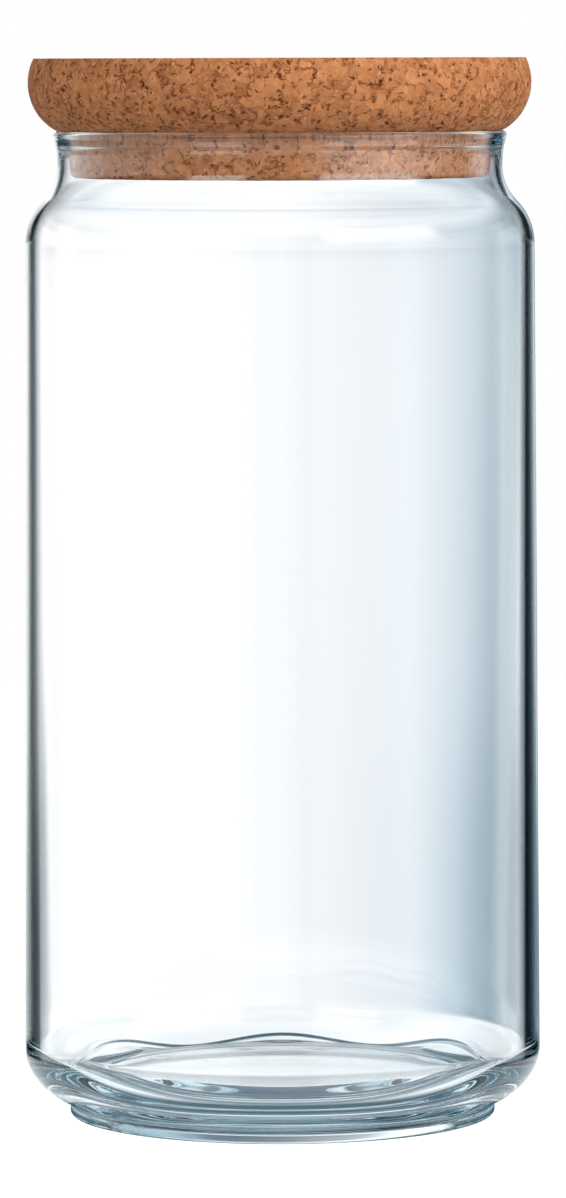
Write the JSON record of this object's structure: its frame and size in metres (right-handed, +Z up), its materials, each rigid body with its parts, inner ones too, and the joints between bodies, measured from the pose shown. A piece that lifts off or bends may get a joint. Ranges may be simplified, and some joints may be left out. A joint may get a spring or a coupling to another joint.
{
  "type": "glass jar with cork lid",
  "caption": "Straight-sided clear glass storage jar with a waisted neck, ogee shoulder and stepped foot, closed by a broad turned cork lid whose plug fills the mouth.",
  "frame": {"origin": "middle of the ring that the jar stands on, in the plane of the table", "axes": "+Z up along the jar's axis, towards the lid; the object is round about Z, so X and Y are free"},
  "size_m": [0.1094, 0.1094, 0.2235],
  "materials": {
    "clear_glass": "polished",
    "pressed_cork": "matte"
  },
  "bodies": {
    "jar": {"glass_jar": "clear_glass"},
    "lid": {"cork_lid": "pressed_cork"}
  },
  "joints": [
    {"name": "lid_lift", "type": "slide", "parent": "jar", "child": "lid", "axis": [0, 0, 1], "range_m": [0, 0.05]}
  ]
}
